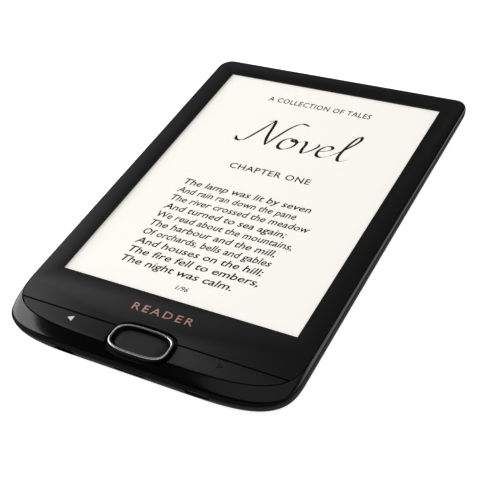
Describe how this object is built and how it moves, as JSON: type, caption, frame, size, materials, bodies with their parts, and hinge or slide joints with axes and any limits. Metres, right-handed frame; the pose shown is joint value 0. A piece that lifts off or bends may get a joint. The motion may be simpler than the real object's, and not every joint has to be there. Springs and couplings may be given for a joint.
{
  "type": "e-reader",
  "caption": "Slim e-reader with a six inch paper-like display set in a matte plate, a glossy chin, two page keys and a home key inside a raised chrome-edged ring.",
  "frame": {"origin": "middle of the footprint, on the plane of the flat back", "axes": "+X to the right seen from the front, +Y towards the top edge, +Z out of the display"},
  "size_m": [0.108, 0.1614, 0.0091],
  "materials": {
    "rear_shell": "fine matte",
    "gloss_frame": "polished",
    "front_plate": "fine matte",
    "key_cap": "fine matte",
    "screen_film": "matte paper white",
    "guide_film": "anti-glare",
    "panel_glass": "polished",
    "gasket_foam": "soft foam",
    "frame_metal": "stamped, satin",
    "can_metal": "tinned",
    "board": "solder mask",
    "chip": "moulded epoxy",
    "flex": "polyimide",
    "connector": "moulded nylon",
    "connector_black": "moulded nylon",
    "contact": "plated",
    "cell": "laminate pouch",
    "tape": "adhesive foam",
    "lead": "soft insulation",
    "led": "clear resin",
    "foil": "mirror foil",
    "ring_chrome": "polished plating",
    "screw": "zinc plated"
  },
  "bodies": {
    "body": {"rear_cover": "rear_shell", "front_frame": "gloss_frame", "faceplate": "front_plate", "display_gasket": "gasket_foam", "light_guide": "guide_film", "light_strip": "led", "eink_film": "screen_film", "eink_panel": "panel_glass", "panel_flex": "flex", "flex_socket": "connector", "mid_frame": "frame_metal", "main_board": "board", "shield_can": "can_metal", "processor_chip": "chip", "memory_chip": "chip", "storage_chip": "chip", "power_chip": "chip", "wifi_module": "can_metal", "wifi_antenna": "flex", "antenna_contacts": "contact", "battery_cell": "cell", "battery_tape": "tape", "battery_board": "board", "battery_leads": "lead", "battery_plug": "connector", "battery_socket": "connector", "usb_shell": "can_metal", "usb_tongue": "connector_black", "card_socket_base": "connector_black", "card_socket_shell": "can_metal", "power_switch": "can_metal", "status_led": "led", "left_switch": "can_metal", "right_switch": "can_metal", "home_switch": "can_metal", "home_flex": "flex", "ring_collar": "gloss_frame", "chrome_ring": "ring_chrome", "board_screws": "screw", "frame_screws": "screw"},
    "left_key": {"left_key": "key_cap", "left_arrow": "foil", "left_plunger": "connector"},
    "right_key": {"right_key": "key_cap", "right_arrow": "foil", "right_plunger": "connector"},
    "home_key": {"home_key": "key_cap", "home_plunger": "connector"},
    "power_key": {"power_key": "key_cap", "power_plunger": "connector"}
  },
  "joints": [
    {"name": "left_key_press", "type": "slide", "parent": "body", "child": "left_key", "axis": [0, 0, -1], "range_m": [0, 0.00035], "stiffness_N_per_m": 1500},
    {"name": "right_key_press", "type": "slide", "parent": "body", "child": "right_key", "axis": [0, 0, -1], "range_m": [0, 0.00035], "stiffness_N_per_m": 1500},
    {"name": "home_key_press", "type": "slide", "parent": "body", "child": "home_key", "axis": [0, 0, -1], "range_m": [0, 0.0003], "stiffness_N_per_m": 1500},
    {"name": "power_key_press", "type": "slide", "parent": "body", "child": "power_key", "axis": [0, 1, 0], "range_m": [0, 0.0003], "stiffness_N_per_m": 1500}
  ]
}
